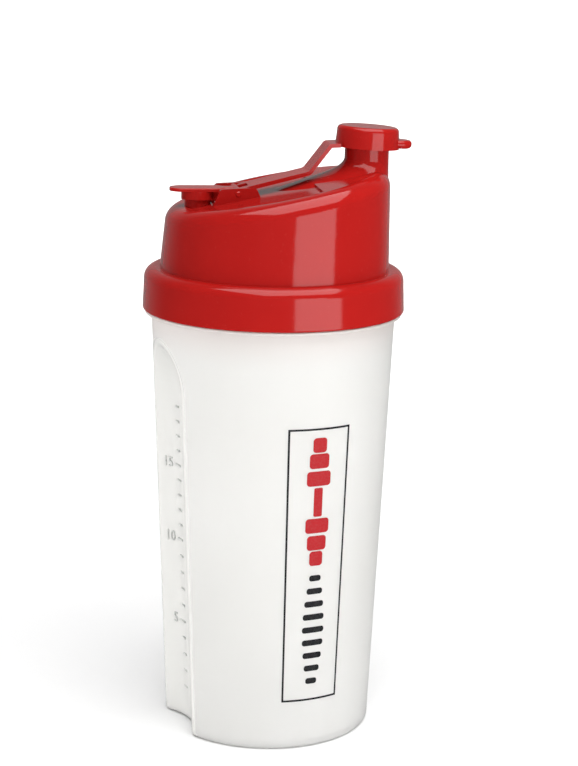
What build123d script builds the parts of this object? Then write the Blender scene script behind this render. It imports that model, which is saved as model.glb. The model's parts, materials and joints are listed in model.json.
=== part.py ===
"""Protein shaker bottle with a screw lid, a sealed drinking spout and a vent.

Millimetres and degrees. The origin is the centre of the cup's base, +Z is up and +X points
from the bottle's axis towards the spout.
"""
from build123d import *
import math
import os

os.makedirs("parts", exist_ok=True)

# ---- cup --------------------------------------------------------------------------------
cup_base_r = 37.9
cup_neck_r = 44.15
cup_shoulder_z = 156.1
cup_rim_z = 167.0
cup_wall = 1.5
cup_floor = 2.0
foot_recess_r = 31.0
foot_pad_r = 12.0
foot_recess_depth = 0.8
foot_round_r = 2.0
rim_round_r = 0.5
stop_bead_r = 46.5
stop_bead_low_z = 154.2
stop_bead_high_z = 155.4
stop_bead_round_r = 0.4
cup_slope = (cup_neck_r - cup_base_r) / cup_shoulder_z

# A hollow grip runs up one side of the cup and fades out below the neck.
grip_angle = 75.0
grip_tool_r = 22.0
grip_depth = 7.0
grip_end_z = 128.0
grip_start_z = -20.0
grip_lip_round_r = 3.0

# ---- screw thread: two starts, right hand -----------------------------------------------
thread_lead = 8.0
thread_starts = 2
thread_rise = 6.0
thread_depth = 1.1
thread_root_width = 2.2
thread_crest_width = 1.4
thread_sink = 0.4
cup_thread_z = 158.9
lid_thread_z = 157.7
thread_gap = 0.25
lid_thread_lag = 360.0 * (lid_thread_z - (cup_thread_z - thread_lead / (2 * thread_starts))) / thread_lead

# ---- lid --------------------------------------------------------------------------------
collar_low_z = 155.7
collar_low_r = 47.3
collar_top_r = 46.7
collar_top_z = 170.6
collar_round_r = 3.8
collar_lip_round_r = 0.5
collar_bore_r = cup_neck_r + thread_depth + thread_gap
lid_ceiling_z = 168.6
dome_low_x = 0.1
dome_low_r = 41.3
dome_high_x = 2.07
dome_high_r = 38.9
dome_high_z = 212.0
dome_sink = 3.0
dome_wall = 1.8
dome_round_r = 5.5
dome_inner_round_r = 3.7
skirt_outer_r = 42.0
skirt_inner_r = 40.6
skirt_low_z = 161.0

# The lid's top is a flat panel that climbs towards the spout.
top_centre_z = 199.2
top_slope = 0.2
top_wall = 1.9
panel_depth = 0.8
panel_r = 33.0
panel_round_r = 0.5
panel_tool_rise = 3.0
panel_spout_side_x = 13.0
trim_half = 60.0
trim_top_z = 232.0

# ---- spout ------------------------------------------------------------------------------
spout_x = 32.85
spout_r = 8.2
spout_taper = 0.6
spout_bore_r = 6.5
spout_low_z = 190.0
spout_stock_z = 222.0
spout_bead_r = 8.3
spout_bead_z = 216.2
spout_mouth_round_r = 0.35
spout_side_x = 40.75
flare_heights = (197.4, 199.0, 200.6, 202.6, 205.0, 207.2, 210.5)
flare_radii = (21.6, 19.6, 17.2, 14.2, 11.0, 8.9, 7.9)

# ---- hinge bracket and pin --------------------------------------------------------------
pin_x = -14.4
pin_z = 198.0
pin_r = 1.0
pin_press = 0.01
pin_running_gap = 0.05
pin_end_chamfer = 0.3
pin_end_reach = 0.4
ear_inner_y = 7.1
ear_thick = 2.1
ear_left_foot = 9.2
ear_right_foot = 8.2
ear_crest_half = 6.4
ear_sink = 1.6
ear_left_crest_z = 199.7
ear_right_crest_z = 200.3
ear_round_r = 1.8
knuckle_r = 1.9
knuckle_side_gap = 0.3
middle_knuckle_half = 2.8
middle_slot_reach = 4.2

# ---- flip cap ---------------------------------------------------------------------------
cap_tilt = 3.0
cap_low_z = 213.8
cap_height = 7.6
cap_low_r = 11.55
cap_top_r = 11.05
cap_round_r = 1.6
cap_wall = 1.5
cap_crown = 1.6
cap_taper = math.degrees(math.atan((cap_low_r - cap_top_r) / cap_height))
cap_lean = math.radians(cap_tilt)
cap_plane = Plane(
    origin=(spout_x, 0, cap_low_z),
    x_dir=(math.cos(cap_lean), 0, -math.sin(cap_lean)),
    z_dir=(math.sin(cap_lean), 0, math.cos(cap_lean)),
)
arm_thick = 1.4
arm_half_width = 6.8
arm_bend_round_r = 2.0
arm_top_line = ((pin_x, 199.4), (10.9, 205.75), (18.4, 215.5), (22.3, 215.7))
tab_reach = 16.2
tab_half_width = 5.0
tab_low = 0.4
tab_thick = 3.0
tab_round_r = 1.3
seal_gap = 0.1
seal_thick = 1.3
seal_low = cap_height - cap_crown - seal_thick
seal_r = 9.5
seal_plug_top_r = 6.1
seal_plug_low_r = 4.9
seal_plug_depth = 2.2
seal_plug_round_r = 0.5
seal_plug_taper = math.degrees(math.atan((seal_plug_top_r - seal_plug_low_r) / seal_plug_depth))

# ---- vent -------------------------------------------------------------------------------
vent_x = -28.0
vent_bore_r = 1.5
vent_boss_r = 2.8
vent_boss_top_z = 196.3
vent_pedestal_r = 4.7
vent_pedestal_top_z = 195.0
vent_cap_r = 5.8
vent_cap_wall = 1.2
vent_cap_low_z = 195.3
tongue_tip_x = -38.0
tongue_half_width = 5.2
tongue_thick = 1.2
tongue_top_z = 199.5
tongue_root_x = -18.6
tongue_shoulder = 1.6
tongue_corner_r = 1.2
tongue_tip_round_r = 4.6
tongue_edge_round_r = 0.4
tongue_corner_radii = [tongue_corner_r] * 2 + [tongue_tip_round_r] * 2 + [tongue_corner_r] * 2
vent_plug_r = 4.2
vent_plug_nose_r = 1.2
vent_plug_nose_depth = 1.2
vent_plug_nose_taper = 15.0

# ---- lid gasket and mixing grid ---------------------------------------------------------
gasket_inner_r = 42.3
gasket_outer_r = 45.2
gasket_low_z = 167.1
gasket_thick = 1.45
gasket_round_r = 0.3
grid_rim_r = 40.61
grid_rim_wall = 1.5
grid_low_z = 160.2
grid_rim_top_z = 163.0
grid_bar = 1.4
grid_bar_thick = 1.8
grid_pitch = 7.0
grid_count = 11
grid_hub_r = 6.0

# Cutting tools run this far past the faces they cut.
overrun = 5.0


def top_z(x):
    """Height of the lid's sloping top over the point x."""
    return top_centre_z + top_slope * x


def dome_share(z):
    """How far z has climbed from the dome's foot, at 0, to the top of its stock, at 1."""
    return (z - collar_top_z) / (dome_high_z - collar_top_z)


def dome_x(z):
    """Centre of the dome wall at height z: the wall leans in more at the back than at the spout."""
    return dome_low_x + (dome_high_x - dome_low_x) * dome_share(z)


def dome_r(z):
    """Outer radius of the dome wall at height z."""
    return dome_low_r + (dome_high_r - dome_low_r) * dome_share(z)


grip_x = -math.sin(math.radians(grip_angle))
grip_y = -math.cos(math.radians(grip_angle))
grip_axis_r = cup_base_r - grip_depth + grip_tool_r
grip_axis = Vector(grip_x * cup_slope, grip_y * cup_slope, 1).normalized()
grip_foot = Vector(grip_x * grip_axis_r, grip_y * grip_axis_r, 0)
grip_base = grip_foot + grip_axis * grip_start_z
grip_length = (grip_end_z - grip_start_z) / grip_axis.Z

# Helix curves the threads follow, before they are turned and lifted into place.
cup_helix_curve = Helix(pitch=thread_lead, height=thread_rise, radius=cup_neck_r)
lid_helix_curve = Helix(pitch=thread_lead, height=thread_rise, radius=collar_bore_r)

# ---- grip tools: one for the outside, one a wall thicker for the inside -----------------
with BuildPart() as grip_outer_tool:
    with BuildSketch(Plane(origin=grip_base, z_dir=grip_axis)):
        Circle(grip_tool_r)
    extrude(amount=grip_length)
    with Locations(grip_base + grip_axis * grip_length):
        Sphere(grip_tool_r)

with BuildPart() as grip_inner_tool:
    with BuildSketch(Plane(origin=grip_base, z_dir=grip_axis)):
        Circle(grip_tool_r + cup_wall)
    extrude(amount=grip_length)
    with Locations(grip_base + grip_axis * grip_length):
        Sphere(grip_tool_r + cup_wall)

# ---- cup inside -------------------------------------------------------------------------
with BuildPart() as cup_inside:
    with BuildSketch(Plane.XZ):
        with BuildLine():
            Polyline(
                (0, cup_floor + foot_recess_depth),
                (cup_base_r - cup_wall + cup_slope * cup_floor, cup_floor + foot_recess_depth),
                (cup_neck_r - cup_wall, cup_shoulder_z),
                (cup_neck_r - cup_wall, cup_rim_z + overrun),
                (0, cup_rim_z + overrun),
                close=True,
            )
        make_face()
    revolve(axis=Axis.Z)
    add(grip_inner_tool.part, mode=Mode.SUBTRACT)
    inner_lips = [edge for edge in cup_inside.edges() if edge.bounding_box().size.Z > grip_end_z / 2]
    fillet(inner_lips, grip_lip_round_r - cup_wall)

# ---- cup --------------------------------------------------------------------------------
with BuildPart() as cup:
    with BuildSketch(Plane.XZ):
        with BuildLine():
            Polyline(
                (0, 0),
                (cup_base_r, 0),
                (cup_neck_r, cup_shoulder_z),
                (cup_neck_r, cup_rim_z),
                (0, cup_rim_z),
                close=True,
            )
        make_face()
    revolve(axis=Axis.Z)
    add(grip_outer_tool.part, mode=Mode.SUBTRACT)
    outer_lips = [edge for edge in cup.edges() if edge.bounding_box().size.Z > grip_end_z / 2]
    fillet(outer_lips, grip_lip_round_r)
    foot_edges = cup.edges().group_by(Axis.Z)[0]
    fillet(foot_edges, foot_round_r)

    # Stop bead that the lid's collar comes down to.
    with BuildSketch(Plane.XY.offset(stop_bead_low_z)):
        Circle(stop_bead_r)
    extrude(amount=stop_bead_high_z - stop_bead_low_z)
    bead_edges = cup.edges().filter_by(GeomType.CIRCLE)
    fillet([edge for edge in bead_edges if edge.radius == stop_bead_r], stop_bead_round_r)
    add(cup_inside.part, mode=Mode.SUBTRACT)
    rim_edges = cup.edges().group_by(Axis.Z)[-1]
    fillet(rim_edges, rim_round_r)

    # The foot stands on its outer ring and on a round pad in the middle.
    with BuildSketch(Plane.XY):
        Circle(foot_recess_r)
        Circle(foot_pad_r, mode=Mode.SUBTRACT)
    extrude(amount=foot_recess_depth, mode=Mode.SUBTRACT)

    for start in range(thread_starts):
        turned = math.radians(360.0 * start / thread_starts)
        outward = Vector(math.cos(turned), math.sin(turned), 0)
        cup_helix = Pos(0, 0, cup_thread_z) * Rot(0, 0, math.degrees(turned)) * cup_helix_curve
        helix_start = cup_helix @ 0
        helix_dir = cup_helix % 0
        with BuildSketch(Plane(origin=helix_start, x_dir=outward, z_dir=helix_dir)):
            with BuildLine():
                Polyline(
                    (-thread_sink, -thread_root_width / 2),
                    (thread_depth, -thread_crest_width / 2),
                    (thread_depth, thread_crest_width / 2),
                    (-thread_sink, thread_root_width / 2),
                    close=True,
                )
            make_face()
        sweep(path=cup_helix, is_frenet=True)

cup.part.label = "cup"
export_step(cup.part, "parts/cup.step")

# ---- lid inside -------------------------------------------------------------------------
with BuildPart() as lid_inside:
    for height in (lid_ceiling_z - dome_sink, dome_high_z):
        with BuildSketch(Plane.XY.offset(height)):
            with Locations((dome_x(height), 0)):
                Circle(dome_r(height) - dome_wall)
    loft()
    with BuildSketch(Plane.XZ):
        with BuildLine():
            Polyline(
                (-trim_half, top_z(-trim_half) - top_wall),
                (trim_half, top_z(trim_half) - top_wall),
                (trim_half, trim_top_z),
                (-trim_half, trim_top_z),
                close=True,
            )
        make_face()
    extrude(amount=trim_half, both=True, mode=Mode.SUBTRACT)
    inner_top = lid_inside.faces().sort_by(Axis.Z)[-1]
    fillet(inner_top.edges(), dome_inner_round_r)

# ---- panel recess in the lid's top ------------------------------------------------------
panel_plane = Plane(origin=(0, 0, top_centre_z - panel_depth), z_dir=(-top_slope, 0, 1))
with BuildPart() as panel_tool:
    with BuildSketch(panel_plane):
        Circle(panel_r)
        with Locations((panel_spout_side_x + panel_r, 0)):
            Rectangle(2 * panel_r, 2 * panel_r, mode=Mode.SUBTRACT)
    extrude(amount=panel_depth + panel_tool_rise)
    fillet(panel_tool.edges().group_by(Axis.Z)[0], panel_round_r)

# ---- lid --------------------------------------------------------------------------------
with BuildPart() as lid:
    for height in (collar_top_z - dome_sink, dome_high_z):
        with BuildSketch(Plane.XY.offset(height)):
            with Locations((dome_x(height), 0)):
                Circle(dome_r(height))
    loft()
    with BuildSketch(Plane.XZ):
        with BuildLine():
            Polyline(
                (-trim_half, top_z(-trim_half)),
                (trim_half, top_z(trim_half)),
                (trim_half, trim_top_z),
                (-trim_half, trim_top_z),
                close=True,
            )
        make_face()
    extrude(amount=trim_half, both=True, mode=Mode.SUBTRACT)
    outer_top = lid.faces().filter_by(GeomType.PLANE).sort_by(Axis.Z)[-1]
    fillet(outer_top.edges(), dome_round_r)
    add(panel_tool.part, mode=Mode.SUBTRACT)
    for height, radius in zip(flare_heights, flare_radii):
        with BuildSketch(Plane.XY.offset(height)):
            with Locations((spout_side_x - radius, 0)):
                Circle(radius)
    loft()

    # Spout with a rolled mouth, and the low boss of the vent.
    with BuildSketch(Plane.XY.offset(spout_low_z)):
        with Locations((spout_x, 0)):
            Circle(spout_r)
    extrude(amount=spout_stock_z - spout_low_z, taper=spout_taper)
    with BuildSketch(Plane.XY.offset(spout_bead_z)):
        with Locations((spout_x, 0)):
            Circle(spout_bead_r)
    extrude(amount=spout_stock_z - spout_bead_z)
    for boss_r, boss_top_z in ((vent_pedestal_r, vent_pedestal_top_z), (vent_boss_r, vent_boss_top_z)):
        with BuildSketch(Plane.XY.offset(top_z(vent_x) - top_wall)):
            with Locations((vent_x, 0)):
                Circle(boss_r)
        extrude(amount=boss_top_z - top_z(vent_x) + top_wall)
    add(lid_inside.part, mode=Mode.SUBTRACT)

    # Screw collar, ceiling and inner skirt.
    with BuildSketch(Plane.XZ):
        with BuildLine():
            Polyline(
                (collar_bore_r, collar_low_z),
                (collar_low_r, collar_low_z),
                (collar_top_r, collar_top_z),
                (skirt_inner_r, collar_top_z),
                (skirt_inner_r, skirt_low_z),
                (skirt_outer_r, skirt_low_z),
                (skirt_outer_r, lid_ceiling_z),
                (collar_bore_r, lid_ceiling_z),
                close=True,
            )
        make_face()
    revolve(axis=Axis.Z)
    collar_mid_r = (collar_bore_r + collar_top_r) / 2
    for place, round_r in ((-1, collar_round_r), (0, collar_lip_round_r)):
        circles = lid.edges().filter_by(GeomType.CIRCLE)
        collar_rings = ShapeList([ring for ring in circles if ring.radius > collar_mid_r])
        fillet(collar_rings.sort_by(Axis.Z)[place], round_r)

    for start in range(thread_starts):
        turned = math.radians(360.0 * start / thread_starts + lid_thread_lag)
        outward = Vector(math.cos(turned), math.sin(turned), 0)
        lid_helix = Pos(0, 0, lid_thread_z) * Rot(0, 0, math.degrees(turned)) * lid_helix_curve
        helix_start = lid_helix @ 0
        helix_dir = lid_helix % 0
        with BuildSketch(Plane(origin=helix_start, x_dir=outward, z_dir=helix_dir)):
            with BuildLine():
                Polyline(
                    (thread_sink, -thread_root_width / 2),
                    (-thread_depth, -thread_crest_width / 2),
                    (-thread_depth, thread_crest_width / 2),
                    (thread_sink, thread_root_width / 2),
                    close=True,
                )
            make_face()
        sweep(path=lid_helix, is_frenet=True)

    # Bore and mouth of the spout.
    with BuildSketch(Plane.XY.offset(spout_low_z)):
        with Locations((spout_x, 0)):
            Circle(spout_bore_r)
    extrude(amount=spout_stock_z - spout_low_z, mode=Mode.SUBTRACT)
    split(bisect_by=cap_plane.offset(seal_low - seal_gap), keep=Keep.BOTTOM)
    fillet(lid.faces().sort_by(Axis.Z)[-1].edges(), spout_mouth_round_r)

    # Ears that carry the pin.
    for side in (-1, 1):
        with BuildSketch(Plane.XZ.offset(side * ear_inner_y)):
            with BuildLine():
                FilletPolyline(
                    (pin_x - ear_left_foot, top_z(pin_x - ear_left_foot) - ear_sink),
                    (pin_x - ear_crest_half, ear_left_crest_z),
                    (pin_x + ear_crest_half, ear_right_crest_z),
                    (pin_x + ear_right_foot, top_z(pin_x + ear_right_foot) - ear_sink),
                    radius=ear_round_r,
                )
                Line(
                    (pin_x + ear_right_foot, top_z(pin_x + ear_right_foot) - ear_sink),
                    (pin_x - ear_left_foot, top_z(pin_x - ear_left_foot) - ear_sink),
                )
            make_face()
        extrude(amount=side * ear_thick)
    with BuildSketch(Plane.XZ):
        with Locations((pin_x, pin_z)):
            Circle(pin_r - pin_press)
    extrude(amount=ear_inner_y + ear_thick + overrun, both=True, mode=Mode.SUBTRACT)

    # Hole through the vent boss.
    with BuildSketch(Plane.XY.offset(top_z(vent_x) - overrun)):
        with Locations((vent_x, 0)):
            Circle(vent_bore_r)
    extrude(amount=vent_boss_top_z - top_z(vent_x) + 2 * overrun, mode=Mode.SUBTRACT)

lid.part.label = "lid"
export_step(lid.part, "parts/lid.step")

# ---- hinge pin --------------------------------------------------------------------------
with BuildPart() as hinge_pin:
    with BuildSketch(Plane.XZ):
        with Locations((pin_x, pin_z)):
            Circle(pin_r)
    extrude(amount=ear_inner_y + ear_thick + pin_end_reach, both=True)
    chamfer(hinge_pin.edges(), pin_end_chamfer)

hinge_pin.part.label = "hinge_pin"
export_step(hinge_pin.part, "parts/hinge_pin.step")

# ---- flip cap: cap, arm, knuckles and thumb tab in one moulding -------------------------
with BuildPart() as flip_cap:
    with BuildSketch(cap_plane):
        Circle(cap_low_r)
    extrude(amount=cap_height, taper=cap_taper)
    fillet(flip_cap.faces().sort_by(Axis.Z)[-1].edges(), cap_round_r)
    with BuildSketch(cap_plane.offset(tab_low)):
        Rectangle(tab_reach - tab_half_width, 2 * tab_half_width, align=(Align.MIN, Align.CENTER))
        with Locations((tab_reach - tab_half_width, 0)):
            Circle(tab_half_width)
    extrude(amount=tab_thick)
    tab_bend_x = spout_x + tab_reach - tab_half_width + tab_round_r
    tab_edges = [edge for edge in flip_cap.edges() if edge.center().X > tab_bend_x]
    tab_rims = [edge for edge in tab_edges if edge.bounding_box().size.Y > tab_half_width]
    fillet(tab_rims, tab_round_r)
    with BuildSketch(Plane.XZ):
        with BuildLine():
            FilletPolyline(*arm_top_line, radius=arm_bend_round_r)
            offset(amount=arm_thick, side=Side.RIGHT)
        make_face()
    extrude(amount=arm_half_width, both=True)
    with BuildSketch(cap_plane.offset(-overrun)):
        Circle(cap_low_r - cap_wall)
    extrude(amount=cap_height - cap_crown + overrun, mode=Mode.SUBTRACT)
    with BuildSketch(Plane.XZ):
        with Locations((pin_x, pin_z)):
            Circle(knuckle_r)
    extrude(amount=arm_half_width, both=True)
    with BuildSketch(Plane.XZ):
        with Locations((pin_x, pin_z)):
            Rectangle(2 * middle_slot_reach, 2 * middle_slot_reach)
    extrude(amount=middle_knuckle_half + knuckle_side_gap, both=True, mode=Mode.SUBTRACT)
    with BuildSketch(Plane.XZ):
        with Locations((pin_x, pin_z)):
            Circle(pin_r + pin_running_gap)
    extrude(amount=arm_half_width, both=True, mode=Mode.SUBTRACT)

flip_cap.part.label = "flip_cap"
export_step(flip_cap.part, "parts/flip_cap.step")

# ---- cap seal ---------------------------------------------------------------------------
with BuildPart() as cap_seal:
    with BuildSketch(cap_plane.offset(seal_low)):
        Circle(seal_r)
    extrude(amount=seal_thick)
    with BuildSketch(cap_plane.offset(seal_low)):
        Circle(seal_plug_top_r)
    extrude(amount=-seal_plug_depth, taper=seal_plug_taper)
    fillet(cap_seal.edges().sort_by(Axis.Z)[0], seal_plug_round_r)

cap_seal.part.label = "cap_seal"
export_step(cap_seal.part, "parts/cap_seal.step")

# ---- vent cap: tongue, round cap and middle knuckle -------------------------------------
with BuildPart() as vent_cap:
    with BuildSketch(Plane.XY.offset(tongue_top_z - tongue_thick)):
        with BuildLine():
            FilletPolyline(
                (pin_x, middle_knuckle_half),
                (tongue_root_x, middle_knuckle_half),
                (tongue_root_x - tongue_shoulder, tongue_half_width),
                (tongue_tip_x, tongue_half_width),
                (tongue_tip_x, -tongue_half_width),
                (tongue_root_x - tongue_shoulder, -tongue_half_width),
                (tongue_root_x, -middle_knuckle_half),
                (pin_x, -middle_knuckle_half),
                radius=tongue_corner_radii,
            )
            Line((pin_x, -middle_knuckle_half), (pin_x, middle_knuckle_half))
        make_face()
    extrude(amount=tongue_thick)
    fillet(vent_cap.edges().group_by(Axis.Z)[-1], tongue_edge_round_r)
    with BuildSketch(Plane.XY.offset(vent_cap_low_z)):
        with Locations((vent_x, 0)):
            Circle(vent_cap_r)
            Circle(vent_cap_r - vent_cap_wall, mode=Mode.SUBTRACT)
    extrude(amount=tongue_top_z - tongue_thick - vent_cap_low_z)
    with BuildSketch(Plane.XZ):
        with Locations((pin_x, pin_z)):
            Circle(knuckle_r)
    extrude(amount=middle_knuckle_half, both=True)
    with BuildSketch(Plane.XZ):
        with Locations((pin_x, pin_z)):
            Circle(pin_r + pin_running_gap)
    extrude(amount=middle_knuckle_half, both=True, mode=Mode.SUBTRACT)

vent_cap.part.label = "vent_cap"
export_step(vent_cap.part, "parts/vent_cap.step")

# ---- vent plug --------------------------------------------------------------------------
with BuildPart() as vent_plug:
    with BuildSketch(Plane.XY.offset(vent_boss_top_z + seal_gap)):
        with Locations((vent_x, 0)):
            Circle(vent_plug_r)
    extrude(amount=tongue_top_z - tongue_thick - vent_boss_top_z - seal_gap)
    with BuildSketch(Plane.XY.offset(vent_boss_top_z + seal_gap)):
        with Locations((vent_x, 0)):
            Circle(vent_plug_nose_r)
    extrude(amount=-vent_plug_nose_depth, taper=vent_plug_nose_taper)

vent_plug.part.label = "vent_plug"
export_step(vent_plug.part, "parts/vent_plug.step")

# ---- lid gasket -------------------------------------------------------------------------
with BuildPart() as lid_gasket:
    with BuildSketch(Plane.XY.offset(gasket_low_z)):
        Circle(gasket_outer_r)
        Circle(gasket_inner_r, mode=Mode.SUBTRACT)
    extrude(amount=gasket_thick)
    fillet(lid_gasket.edges(), gasket_round_r)

lid_gasket.part.label = "lid_gasket"
export_step(lid_gasket.part, "parts/lid_gasket.step")

# ---- mixing grid ------------------------------------------------------------------------
with BuildPart() as mixing_grid:
    with BuildSketch(Plane.XY.offset(grid_low_z)):
        Circle(grid_rim_r)
        with GridLocations(grid_pitch, grid_pitch, grid_count, grid_count):
            Rectangle(grid_pitch - grid_bar, grid_pitch - grid_bar, mode=Mode.SUBTRACT)
        Circle(grid_hub_r)
    extrude(amount=grid_bar_thick)
    with BuildSketch(Plane.XY.offset(grid_low_z)):
        Circle(grid_rim_r)
        Circle(grid_rim_r - grid_rim_wall, mode=Mode.SUBTRACT)
    extrude(amount=grid_rim_top_z - grid_low_z)

mixing_grid.part.label = "mixing_grid"
export_step(mixing_grid.part, "parts/mixing_grid.step")
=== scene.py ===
import json
import math

import bmesh
import bpy
from mathutils import Matrix, Vector

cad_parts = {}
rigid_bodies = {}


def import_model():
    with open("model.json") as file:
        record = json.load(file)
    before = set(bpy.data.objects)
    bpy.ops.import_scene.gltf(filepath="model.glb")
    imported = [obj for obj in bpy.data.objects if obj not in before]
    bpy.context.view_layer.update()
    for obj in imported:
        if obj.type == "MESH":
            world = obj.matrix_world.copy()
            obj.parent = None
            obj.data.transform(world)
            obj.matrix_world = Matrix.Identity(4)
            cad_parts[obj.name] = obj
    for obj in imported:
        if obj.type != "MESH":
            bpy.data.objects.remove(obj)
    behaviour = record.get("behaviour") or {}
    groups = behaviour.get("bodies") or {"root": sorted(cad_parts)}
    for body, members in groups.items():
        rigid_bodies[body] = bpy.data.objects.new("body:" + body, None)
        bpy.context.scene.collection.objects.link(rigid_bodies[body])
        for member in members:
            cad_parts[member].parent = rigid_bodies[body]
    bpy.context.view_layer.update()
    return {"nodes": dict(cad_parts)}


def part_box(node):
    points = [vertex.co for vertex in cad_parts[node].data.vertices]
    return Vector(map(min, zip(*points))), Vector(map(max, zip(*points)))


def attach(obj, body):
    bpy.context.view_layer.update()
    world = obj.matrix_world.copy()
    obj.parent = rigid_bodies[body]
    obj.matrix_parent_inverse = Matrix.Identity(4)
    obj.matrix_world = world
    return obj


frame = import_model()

# Lengths are in millimetres here and become metres through MM.
MM = 0.001
scene = bpy.context.scene
nodes = frame["nodes"]

# The cup's drafted wall; the imported cup's own box is read, but the numbers below are given, not taken from
# it.
cup_low, cup_high = (Vector(corner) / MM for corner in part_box("cup"))
CUP_BASE_R = 37.9
CUP_NECK_R = 44.15
CUP_SHOULDER_Z = 156.1
CUP_SLOPE = (CUP_NECK_R - CUP_BASE_R) / CUP_SHOULDER_Z

# The grip groove is a round channel whose axis leans out with the wall.
GRIP_SIDE = math.radians(75.0)
GRIP_R = 22.0
GRIP_DEPTH = 7.0
GRIP_END_Z = 128.0
GRIP_OUT = Vector((-math.sin(GRIP_SIDE), -math.cos(GRIP_SIDE), 0))
GRIP_ACROSS = Vector((-GRIP_OUT.y, GRIP_OUT.x, 0))

# The photographer stands this far round from the part's own front.
TURN = math.radians(8.0)


# ---------------------------------------------------------------- shader helper
class Shader:
    """A material's node tree, with short calls for the few node kinds used here."""

    def __init__(self, name):
        self.material = bpy.data.materials.new(name)
        self.material.use_nodes = True
        self.tree = self.material.node_tree
        self.tree.nodes.clear()
        self.out = self.tree.nodes.new("ShaderNodeOutputMaterial")
        self.bsdf = self.tree.nodes.new("ShaderNodeBsdfPrincipled")
        self.link(self.bsdf.outputs[0], self.out.inputs["Surface"])
        self.coords = self.tree.nodes.new("ShaderNodeTexCoord").outputs["Object"]

    def link(self, a, b):
        self.tree.links.new(a, b)

    def put(self, value, socket):
        if isinstance(value, bpy.types.NodeSocket):
            self.link(value, socket)
        else:
            socket.default_value = value

    def set(self, **values):
        for key, value in values.items():
            self.put(value, self.bsdf.inputs[key.replace("_", " ")])

    def noise(self, scale, detail=3.0, roughness=0.5, vector=None):
        n = self.tree.nodes.new("ShaderNodeTexNoise")
        self.link(vector or self.coords, n.inputs["Vector"])
        n.inputs["Scale"].default_value = scale
        n.inputs["Detail"].default_value = detail
        n.inputs["Roughness"].default_value = roughness
        return n.outputs["Fac"]

    def math(self, kind, a, b=0.0, c=0.0, clamp=False):
        n = self.tree.nodes.new("ShaderNodeMath")
        n.operation = kind
        n.use_clamp = clamp
        for value, socket in zip((a, b, c), n.inputs):
            self.put(value, socket)
        return n.outputs[0]

    def spread(self, value, low, high, to_low=0.0, to_high=1.0):
        n = self.tree.nodes.new("ShaderNodeMapRange")
        n.interpolation_type = "SMOOTHSTEP"
        self.put(value, n.inputs["Value"])
        for key, v in (("From Min", low), ("From Max", high), ("To Min", to_low), ("To Max", to_high)):
            n.inputs[key].default_value = v
        return n.outputs["Result"]

    def mix(self, fac, a, b):
        n = self.tree.nodes.new("ShaderNodeMix")
        n.data_type = "RGBA"
        self.put(fac, n.inputs["Factor"])
        self.put(a, n.inputs["A"])
        self.put(b, n.inputs["B"])
        return n.outputs["Result"]

    def xyz(self):
        n = self.tree.nodes.new("ShaderNodeSeparateXYZ")
        self.link(self.coords, n.inputs[0])
        return n.outputs

    def stretch(self, scale):
        n = self.tree.nodes.new("ShaderNodeMapping")
        self.link(self.coords, n.inputs["Vector"])
        n.inputs["Scale"].default_value = scale
        return n.outputs["Vector"]

    def bump(self, height, distance, strength=1.0):
        n = self.tree.nodes.new("ShaderNodeBump")
        n.inputs["Strength"].default_value = strength
        n.inputs["Distance"].default_value = distance
        self.link(height, n.inputs["Height"])
        self.link(n.outputs[0], self.bsdf.inputs["Normal"])


def give(obj, material):
    obj.data.materials.clear()
    obj.data.materials.append(material)


# ---------------------------------------------------------------- materials
def red_plastic(name, cloud_scale):
    """Glossy red polypropylene: faint flow clouding, a shallow orange peel and fine handling dust."""
    s = Shader(name)
    cloud = s.noise(cloud_scale, 4.0)
    flow = s.noise(9.0, 2.0, vector=s.stretch((1.0, 1.0, 0.25)))
    speck = s.spread(s.noise(900.0, 2.0), 0.66, 0.74)
    tone = s.mix(s.spread(cloud, 0.35, 0.65), (0.355, 0.0085, 0.0072, 1), (0.395, 0.0100, 0.0082, 1))
    s.set(Base_Color=s.mix(s.math("MULTIPLY", speck, 0.10), tone, (0.50, 0.07, 0.06, 1)))
    s.set(Roughness=s.math("ADD", s.spread(flow, 0.3, 0.7, 0.075, 0.12), s.math("MULTIPLY", speck, 0.08)))
    s.set(IOR=1.5, Specular_IOR_Level=0.35)
    s.bump(s.noise(160.0, 2.0), 0.00003, 0.35)
    return s.material


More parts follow.
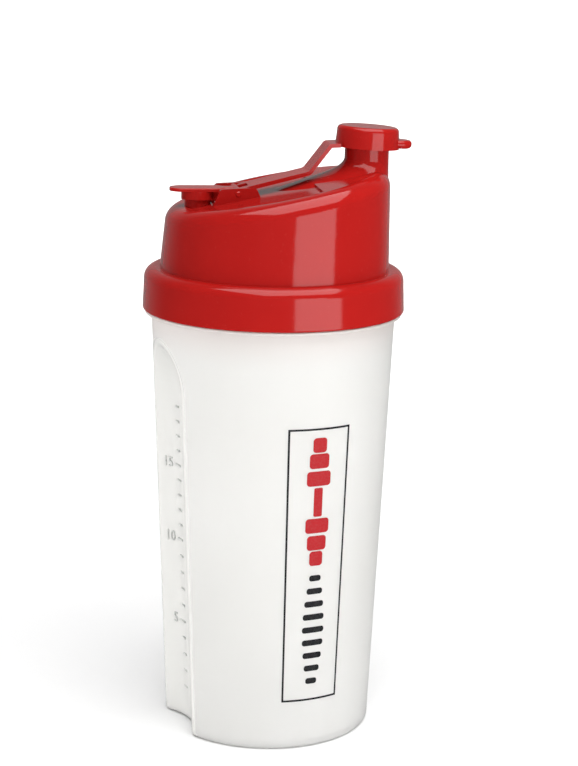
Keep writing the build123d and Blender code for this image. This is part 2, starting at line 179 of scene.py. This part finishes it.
def cup_plastic():
    """Frosted milky polypropylene, polished clear inside the grip groove, with painted red bounce light under
    the lid.
    """
    s = Shader("cup_plastic")
    x, y, z = s.xyz()
    axis_r = s.math("MULTIPLY_ADD", z, CUP_SLOPE, (CUP_BASE_R - GRIP_DEPTH + GRIP_R) * MM)
    dx = s.math("MULTIPLY_ADD", axis_r, -GRIP_OUT.x, x)
    dy = s.math("MULTIPLY_ADD", axis_r, -GRIP_OUT.y, y)
    over = s.math("MAXIMUM", s.math("SUBTRACT", z, GRIP_END_Z * MM), 0.0)
    squares = [s.math("MULTIPLY", side, side) for side in (dx, dy, over)]
    reach = s.math("SQRT", s.math("ADD", s.math("ADD", squares[0], squares[1]), squares[2]))
    window = s.spread(reach, (GRIP_R + 1.9) * MM, (GRIP_R + 2.3) * MM, 1.0, 0.0)
    cloud = s.noise(22.0, 3.0)
    frost = s.noise(700.0, 3.0)
    streak = s.noise(60.0, 2.0, vector=s.stretch((1.0, 1.0, 0.06)))
    milky = s.mix(s.spread(cloud, 0.3, 0.7), (0.945, 0.94, 0.918, 1), (0.975, 0.97, 0.952, 1))
    milky = s.mix(s.spread(streak, 0.45, 0.75, 0.0, 0.35), milky, (0.91, 0.905, 0.882, 1))
    # Painted red bounce light: the cup's wall turns pink over its top 16 mm, just under the red lid.
    painted_lid_bounce = s.spread(z, (CUP_SHOULDER_Z - 16) * MM, CUP_SHOULDER_Z * MM, 0.0, 0.6)
    milky = s.mix(painted_lid_bounce, milky, (0.95, 0.86, 0.83, 1))
    s.set(Base_Color=s.mix(window, milky, (0.97, 0.965, 0.94, 1)))
    rough = s.spread(cloud, 0.3, 0.7, 0.40, 0.48)
    s.set(Roughness=s.math("MULTIPLY_ADD", window, -0.30, rough))
    s.set(Transmission_Weight=s.math("MULTIPLY_ADD", window, -0.12, 0.50))
    s.set(IOR=1.49, Specular_IOR_Level=0.4)
    s.bump(s.math("MULTIPLY", frost, s.math("SUBTRACT", 1.0, window)), 0.00002, 0.5)
    return s.material


def satin(name, dark, light, rough, grain=300.0):
    """Moulded plastic or silicone with a soft cloud of tone and a fine grain."""
    s = Shader(name)
    cloud = s.noise(40.0, 3.0)
    s.set(Base_Color=s.mix(s.spread(cloud, 0.3, 0.7), dark, light))
    s.set(Roughness=s.spread(cloud, 0.3, 0.7, rough, rough + 0.1), IOR=1.45)
    s.bump(s.noise(grain, 2.0), 0.00002, 0.5)
    return s.material


def ink(name, colour):
    """Screen-printed ink: slightly uneven in cover, with a fine mesh-like grain."""
    s = Shader(name)
    cover = s.spread(s.noise(1400.0, 3.0), 0.35, 0.6)
    thin = tuple(0.94 * c + 0.012 for c in colour) + (1,)
    s.set(Base_Color=s.mix(cover, thin, colour + (1,)))
    s.set(Roughness=s.spread(s.noise(500.0), 0.3, 0.7, 0.34, 0.44), Specular_IOR_Level=0.3)
    s.bump(s.noise(1800.0, 1.0), 0.00001, 0.4)
    return s.material


def raised_plastic():
    """Raised marks on the groove: the cup's plastic with a frosted face, painted grey as shade so that they
    read against the wall.
    """
    s = Shader("raised_plastic")
    cloud = s.noise(300.0, 2.0)
    # Painted shade: the marks are greyed to stand in for the shade at their moulded edges.
    s.set(Base_Color=s.mix(s.spread(cloud, 0.3, 0.7), (0.60, 0.615, 0.60, 1), (0.70, 0.71, 0.69, 1)))
    s.set(Roughness=s.spread(cloud, 0.3, 0.7, 0.25, 0.35), IOR=1.49, Transmission_Weight=0.35)
    s.bump(s.noise(900.0, 1.0), 0.00001, 0.5)
    return s.material


# ---------------------------------------------------------------- pieces printed and raised on the cup
def wall_point(across, up, out=0.0):
    """A point on the cup's outer wall: across is mm of arc right of the front, up is height."""
    radius = CUP_BASE_R + CUP_SLOPE * up
    angle = across / LABEL_ARC_R
    return Vector(((radius + out) * math.sin(angle), -(radius + out) * math.cos(angle), up)) * MM


def groove_point(across, up, out=0.0):
    """A point on the groove's floor: across is mm of arc from its deepest line towards the front."""
    axis = GRIP_OUT * (CUP_BASE_R + CUP_SLOPE * up - GRIP_DEPTH + GRIP_R)
    angle = across / GRIP_R
    spoke = -GRIP_OUT * math.cos(angle) + GRIP_ACROSS * math.sin(angle)
    return (axis + spoke * (GRIP_R - out) + Vector((0, 0, up))) * MM


def raised_patch(name, outlines, place, thick, material, grid=1.2):
    """Closed flat outlines, cut fine enough to bend, wrapped by place and raised by thick."""
    bm = bmesh.new()
    for outline in outlines:
        bm.faces.new([bm.verts.new((u, v, 0)) for u, v in outline])
    for axis in (0, 1):
        values = [v.co[axis] for v in bm.verts]
        steps = int((max(values) - min(values)) / grid)
        for i in range(1, steps):
            cut = min(values) + i * grid
            normal = (1, 0, 0) if axis == 0 else (0, 1, 0)
            spot = tuple(cut * n for n in normal)
            everything = bm.verts[:] + bm.edges[:] + bm.faces[:]
            bmesh.ops.bisect_plane(bm, geom=everything, plane_co=spot, plane_no=normal)
    base = bm.faces[:]
    lifted = bmesh.ops.extrude_face_region(bm, geom=base)
    for item in lifted["geom"]:
        if isinstance(item, bmesh.types.BMVert):
            item.co.z = thick
    bmesh.ops.recalc_face_normals(bm, faces=bm.faces[:])
    for vert in bm.verts:
        vert.co = place(vert.co.x, vert.co.y, vert.co.z)
    mesh = bpy.data.meshes.new(name)
    bmesh.ops.recalc_face_normals(bm, faces=bm.faces[:])
    bm.to_mesh(mesh)
    bm.free()
    obj = bpy.data.objects.new(name, mesh)
    scene.collection.objects.link(obj)
    give(obj, material)
    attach(obj, "cup")
    return obj


def bar(u0, v0, u1, v1):
    return [(u0, v0), (u1, v0), (u1, v1), (u0, v1)]


def round_bar(u0, v0, u1, v1, radius, steps=6):
    """A rectangle with round corners."""
    outline = []
    corners = ((u1, v1, 0), (u0, v1, 90), (u0, v0, 180), (u1, v0, 270))
    for u, v, start in corners:
        cu = u - math.copysign(radius, u - (u0 + u1) / 2)
        cv = v - math.copysign(radius, v - (v0 + v1) / 2)
        for i in range(steps + 1):
            a = math.radians(start + 90 * i / steps)
            outline.append((cu + radius * math.cos(a), cv + radius * math.sin(a)))
    return outline


# The label: a thin printed frame with two generic marks, a barbell and a row of level bars.
LABEL_ARC_R = CUP_BASE_R + CUP_SLOPE * 70
LABEL_LOW, LABEL_HIGH = 18.5, 120.6
LABEL_LEFT, LABEL_RIGHT = 0.0, 22.7
LINE = 0.7
INK_THICK = 0.04
INK_GAP = 0.02


def printed(across, up, out):
    return wall_point(across, up, out + INK_GAP)


def label():
    black = ink("black_ink", (0.012, 0.012, 0.014))
    red = ink("red_ink", (0.40, 0.008, 0.012))
    frame_lines = [
        bar(LABEL_LEFT, LABEL_LOW, LABEL_LEFT + LINE, LABEL_HIGH),
        bar(LABEL_RIGHT - LINE, LABEL_LOW, LABEL_RIGHT, LABEL_HIGH),
        bar(LABEL_LEFT + LINE, LABEL_LOW, LABEL_RIGHT - LINE, LABEL_LOW + LINE),
        bar(LABEL_LEFT + LINE, LABEL_HIGH - LINE, LABEL_RIGHT - LINE, LABEL_HIGH),
    ]
    raised_patch("label_frame", frame_lines, printed, INK_THICK, black)

    middle = (LABEL_LEFT + LABEL_RIGHT) / 2
    plates = ((72.6, 2.5), (78.4, 3.6), (84.8, 4.4), (102.2, 4.4), (108.6, 3.6), (114.4, 2.5))
    barbell = [round_bar(middle - half, up - 2.7, middle + half, up + 2.7, 1.2) for up, half in plates]
    barbell.append(round_bar(middle - 1.6, 88.2, middle + 1.6, 98.8, 0.6))
    raised_patch("label_barbell", barbell, printed, INK_THICK, red)

    levels = []
    for i in range(9):
        half = 1.8 + 2.5 * math.sin(math.pi * (i + 0.5) / 9)
        up = 26.0 + 4.9 * i
        levels.append(round_bar(middle - half, up - 1.1, middle + half, up + 1.1, 0.9))
    raised_patch("label_levels", levels, printed, INK_THICK, black)


# The scale: one tick for each fluid ounce, longer at 5, 10 and 15, each with its number.
TICK_HEIGHTS = {5: 38.8, 10: 70.5, 15: 98.8}
TICK_LOW = 13.0


def tick_height(ounces):
    """Height of a mark: even steps between the numbered ones, and one step size below and above them."""
    known = {1: TICK_LOW, **TICK_HEIGHTS, 19: 98.8 + 4 * 5.5}
    marks = sorted(known)
    for low, high in zip(marks, marks[1:]):
        if low <= ounces <= high:
            return known[low] + (known[high] - known[low]) * (ounces - low) / (high - low)
    return known[marks[-1]]


def number_outline(text, size, right, middle_up):
    """Mesh of a moulded number, its right side at right and its middle at middle_up."""
    curve = bpy.data.curves.new("number_" + text, "FONT")
    curve.body = text
    curve.size = size
    curve.align_x = "RIGHT"
    curve.align_y = "CENTER"
    curve.resolution_u = 4
    curve.extrude = 0.0
    holder = bpy.data.objects.new("number_holder", curve)
    scene.collection.objects.link(holder)
    bpy.context.view_layer.update()
    mesh = bpy.data.meshes.new_from_object(holder.evaluated_get(bpy.context.evaluated_depsgraph_get()))
    bpy.data.objects.remove(holder)
    bpy.data.curves.remove(curve)
    for vert in mesh.vertices:
        vert.co.x += right
        vert.co.y += middle_up
    return mesh


def raised_number(text, right, middle_up, thick, material):
    flat = number_outline(text, 5.4, right, middle_up)
    bm = bmesh.new()
    bm.from_mesh(flat)
    bpy.data.meshes.remove(flat)
    bmesh.ops.remove_doubles(bm, verts=bm.verts[:], dist=0.001)
    lifted = bmesh.ops.extrude_face_region(bm, geom=bm.faces[:])
    for item in lifted["geom"]:
        if isinstance(item, bmesh.types.BMVert):
            item.co.z = thick
    for vert in bm.verts:
        vert.co = groove_point(vert.co.x, vert.co.y, vert.co.z)
    bmesh.ops.recalc_face_normals(bm, faces=bm.faces[:])
    name = "scale_number_" + text
    mesh = bpy.data.meshes.new(name)
    bm.to_mesh(mesh)
    bm.free()
    obj = bpy.data.objects.new(name, mesh)
    scene.collection.objects.link(obj)
    give(obj, material)
    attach(obj, "cup")


def scale_marks():
    material = raised_plastic()
    ticks = []
    for ounces in range(1, 20):
        up = tick_height(ounces)
        reach = 3.6 if ounces % 5 == 0 else 2.4
        ticks.append(bar(-1.2 - reach, up - 0.35, -1.2, up + 0.35))
    raised_patch("scale_ticks", ticks, groove_point, 0.3, material)
    for ounces, up in TICK_HEIGHTS.items():
        raised_number(str(ounces), -6.4, up, 0.3, material)


# ---------------------------------------------------------------- dress the CAD nodes
give(nodes["lid"], red_plastic("lid_plastic", 14.0))
give(nodes["flip_cap"], red_plastic("cap_plastic", 22.0))
give(nodes["vent_cap"], red_plastic("vent_plastic", 26.0))
give(nodes["hinge_pin"], red_plastic("pin_plastic", 40.0))
give(nodes["cup"], cup_plastic())
give(nodes["mixing_grid"], satin("grid_plastic", (0.80, 0.80, 0.78, 1), (0.88, 0.88, 0.86, 1), 0.35))
silicone = satin("silicone", (0.70, 0.70, 0.68, 1), (0.78, 0.78, 0.76, 1), 0.5)
for name in ("lid_gasket", "cap_seal", "vent_plug"):
    give(nodes[name], silicone)
label()
scale_marks()


# ---------------------------------------------------------------- stage
def studio_floor():
    """A round pale floor whose edge curves up into a low wall on every side."""
    profile = [(0.0, 0.0), (0.3, 0.0), (0.8, 0.0), (1.6, 0.0)]
    for i in range(1, 13):
        a = math.radians(90 * i / 12)
        profile.append((1.6 + 0.35 * math.sin(a), 0.35 - 0.35 * math.cos(a)))
    profile.append((1.95, 0.6))
    bm = bmesh.new()
    verts = [bm.verts.new((r, 0, z)) for r, z in profile]
    edges = [bm.edges.new(pair) for pair in zip(verts, verts[1:])]
    bmesh.ops.spin(bm, geom=verts + edges, cent=(0, 0, 0), axis=(0, 0, 1), angle=2 * math.pi, steps=96)
    bmesh.ops.remove_doubles(bm, verts=bm.verts[:], dist=0.0001)
    bmesh.ops.recalc_face_normals(bm, faces=bm.faces[:])
    mesh = bpy.data.meshes.new("studio_floor")
    bm.to_mesh(mesh)
    bm.free()
    mesh.polygons.foreach_set("use_smooth", [True] * len(mesh.polygons))
    floor = bpy.data.objects.new("studio_floor", mesh)
    scene.collection.objects.link(floor)
    s = Shader("floor_paper")
    fibre = s.noise(600.0, 2.0)
    s.set(Base_Color=s.mix(fibre, (0.93, 0.93, 0.93, 1), (0.95, 0.95, 0.95, 1)), Roughness=0.9)
    s.set(Specular_IOR_Level=0.05)
    give(floor, s.material)
    floor.visible_glossy = False


def from_camera_side(x, y, z):
    """A point right of, behind and above the bottle as the photographer stands, in metres."""
    turned = Matrix.Rotation(-TURN, 3, "Z")
    return turned @ Vector((x, y, z))


def area_light(name, place, target, size, watts, colour=(1, 1, 1)):
    data = bpy.data.lights.new(name, "AREA")
    data.shape = "RECTANGLE"
    data.size, data.size_y = size
    data.energy = watts
    data.color = colour
    lamp = bpy.data.objects.new(name, data)
    scene.collection.objects.link(lamp)
    lamp.location = place
    lamp.rotation_mode = "QUATERNION"
    lamp.rotation_quaternion = (Vector(target) - place).to_track_quat("-Z", "Y")
    return lamp


def studio():
    """A low strip softbox to the right of the camera, a wide overhead, and a grey room."""
    world = bpy.data.worlds.new("studio")
    world.use_nodes = True
    tree = world.node_tree
    ground = tree.nodes["Background"]
    coords = tree.nodes.new("ShaderNodeTexCoord")
    split = tree.nodes.new("ShaderNodeSeparateXYZ")
    ramp = tree.nodes.new("ShaderNodeMapRange")
    ramp.interpolation_type = "SMOOTHSTEP"
    tree.links.new(coords.outputs["Generated"], split.inputs[0])
    tree.links.new(split.outputs["Y"], ramp.inputs["Value"])
    for key, v in (("From Min", 0.4), ("From Max", 0.95), ("To Min", 0.09), ("To Max", 0.30)):
        ramp.inputs[key].default_value = v
    tree.links.new(ramp.outputs["Result"], ground.inputs["Color"])
    scene.world = world
    middle = Vector((0, 0, 0.13))
    area_light("softbox", from_camera_side(0.40, -0.50, 0.13), Vector((0, 0, 0.18)), (0.48, 0.24), 1.1)
    area_light("overhead", from_camera_side(0.15, -0.30, 1.30), middle, (1.5, 1.5), 25.0)
    area_light("backdrop", from_camera_side(0, 0.95, 0.95), from_camera_side(0, 1.9, 0.1), (2.4, 0.5), 24.0)
    fill = area_light("fill", from_camera_side(0.1, -1.3, 0.45), middle, (1.2, 0.8), 4.0)
    fill.visible_glossy = False
    # The cup alone gets light from its left, so that the groove reads as pale as the wall.
    cup_only = bpy.data.collections.new("cup_only")
    for obj in [nodes["cup"]] + [o for o in scene.objects if o.name.startswith(("label_", "scale_"))]:
        cup_only.objects.link(obj)
    for name, place, watts in (("cup_left", (-0.9, 0.10, 0.30), 5.0), ("cup_front", (-0.1, -1.2, 0.30), 0.8)):
        lamp = area_light(name, from_camera_side(*place), Vector((0, 0, 0.07)), (0.8, 0.5), watts)
        lamp.visible_glossy = False
        lamp.light_linking.receiver_collection = cup_only


def camera():
    pitch, yaw, roll = 0.2256, 0.0087, 0.0195
    data = bpy.data.cameras.new("view")
    cam = bpy.data.objects.new("view", data)
    scene.collection.objects.link(cam)
    data.sensor_width = 36.0
    data.lens = 36.0 * 2011.0 / 766.0
    data.clip_start, data.clip_end = 0.05, 20.0
    right = Vector((math.cos(yaw), -math.sin(yaw), 0))
    ahead = Vector((math.sin(yaw) * math.cos(pitch), math.cos(yaw) * math.cos(pitch), -math.sin(pitch)))
    up = right.cross(ahead)
    side = right * math.cos(roll) + up * math.sin(roll)
    top = up * math.cos(roll) - right * math.sin(roll)
    axes = [from_camera_side(*v) for v in (side, top, -ahead)]
    place = from_camera_side(0, -0.7169, 0.2921)
    cam.matrix_world = Matrix([[a[i] for a in axes] + [place[i]] for i in range(3)] + [[0, 0, 0, 1]])
    scene.camera = cam


studio_floor()
studio()
camera()
scene.view_settings.view_transform = "Standard"
scene.view_settings.look = "None"
